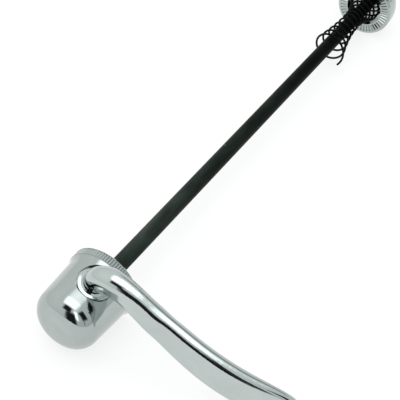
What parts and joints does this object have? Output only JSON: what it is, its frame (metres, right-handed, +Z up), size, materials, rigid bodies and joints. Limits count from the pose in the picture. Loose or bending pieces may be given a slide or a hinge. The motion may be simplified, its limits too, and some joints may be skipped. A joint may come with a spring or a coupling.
{
  "type": "quick release skewer",
  "caption": "Bicycle wheel quick release skewer: a cam lever in a chromed head draws a long rod through a hollow axle against a serrated adjusting nut, with conical centring springs.",
  "frame": {"origin": "on the axis of the rod, in the plane of the head's clamping face", "axes": "+X along the rod from the head to the nut, +Z up from the surface that the skewer lies on, closed lever towards -Y"},
  "size_m": [0.2082, 0.0763, 0.0284],
  "materials": {
    "chrome_head": "polished chrome plate",
    "chrome_lever": "polished chrome plate",
    "chrome_nut": "polished chrome plate",
    "plain_steel": "plain bright steel",
    "blackened_rod": "satin greenish black",
    "spring_wire": "semi-gloss black",
    "nylon": "natural nylon"
  },
  "bodies": {
    "head": {"cam_housing": "chrome_head"},
    "lever": {"lever": "chrome_lever", "spindle_washer": "plain_steel", "spindle_clip": "plain_steel"},
    "rod": {"skewer_rod": "blackened_rod"},
    "nut_spring": {"nut_side_spring": "spring_wire"},
    "nut": {"adjusting_nut": "chrome_nut", "nut_locking_ring": "nylon"},
    "lever_spring": {"lever_side_spring": "spring_wire"}
  },
  "joints": [
    {"name": "lever_swing", "type": "hinge", "parent": "head", "child": "lever", "pos_m": [-0.0089, 0, 0], "axis": [0, 0.2806, -0.9598], "range_deg": [0, 180]},
    {"name": "rod_draw", "type": "slide", "parent": "head", "child": "rod", "axis": [1, 0, 0], "range_m": [0, 0.0018]},
    {"name": "nut_travel", "type": "slide", "parent": "rod", "child": "nut_spring", "axis": [1, 0, 0], "range_m": [-0.012, 0.008]},
    {"name": "nut_spin", "type": "hinge", "parent": "nut_spring", "child": "nut", "pos_m": [0.17, 0, 0], "axis": [1, 0, 0], "range_deg": [-5400, 3600]},
    {"name": "spring_slide", "type": "slide", "parent": "nut_spring", "child": "lever_spring", "axis": [1, 0, 0], "range_m": [-0.122, 0]}
  ],
  "couplings": [
    {"joint": "rod_draw", "follows": "lever_swing", "m_per_rad": 0.00057296},
    {"joint": "nut_travel", "follows": "nut_spin", "m_per_rad": 0.00012732}
  ]
}
